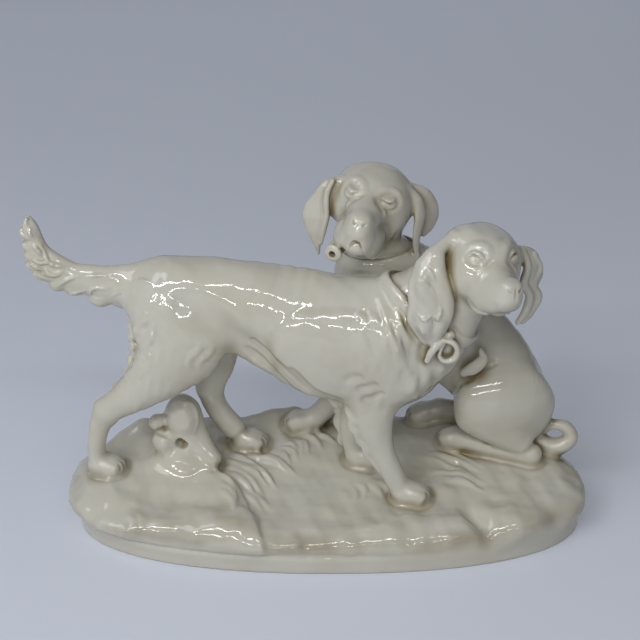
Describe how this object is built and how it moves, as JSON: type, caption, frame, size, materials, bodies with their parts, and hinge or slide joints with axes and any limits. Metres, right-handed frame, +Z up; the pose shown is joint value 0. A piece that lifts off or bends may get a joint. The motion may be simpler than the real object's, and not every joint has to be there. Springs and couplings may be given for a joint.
{
  "type": "porcelain dog figurine",
  "caption": "Glossy cream porcelain group of a standing setter and a seated hound on a rocky oval base, for display on a flat surface.",
  "frame": {"origin": "bottom centre of the box round the group, on the plane of the foot rim", "axes": "+Z up, +X along the base in the direction that the setter walks, +Y away from the viewer"},
  "size_m": [0.4038, 0.163, 0.2674],
  "materials": {
    "glazed_porcelain": "clear gloss glaze over cream porcelain, warmer where it pools"
  },
  "bodies": {
    "root": {"base": "glazed_porcelain", "tree_stump": "glazed_porcelain", "setter_body": "glazed_porcelain", "setter_head": "glazed_porcelain", "setter_right_ear": "glazed_porcelain", "setter_left_ear": "glazed_porcelain", "setter_tail": "glazed_porcelain", "setter_right_foreleg": "glazed_porcelain", "setter_left_foreleg": "glazed_porcelain", "setter_right_hindleg": "glazed_porcelain", "setter_left_hindleg": "glazed_porcelain", "setter_collar": "glazed_porcelain", "collar_bow": "glazed_porcelain", "hound_body": "glazed_porcelain", "hound_head": "glazed_porcelain", "hound_right_ear": "glazed_porcelain", "hound_left_ear": "glazed_porcelain", "hound_left_foreleg": "glazed_porcelain", "hound_right_foreleg": "glazed_porcelain", "hound_left_hindleg": "glazed_porcelain", "hound_right_hindleg": "glazed_porcelain", "hound_tail": "glazed_porcelain", "hound_collar": "glazed_porcelain", "retrieved_stick": "glazed_porcelain", "lead_end": "glazed_porcelain"}
  },
  "joints": []
}
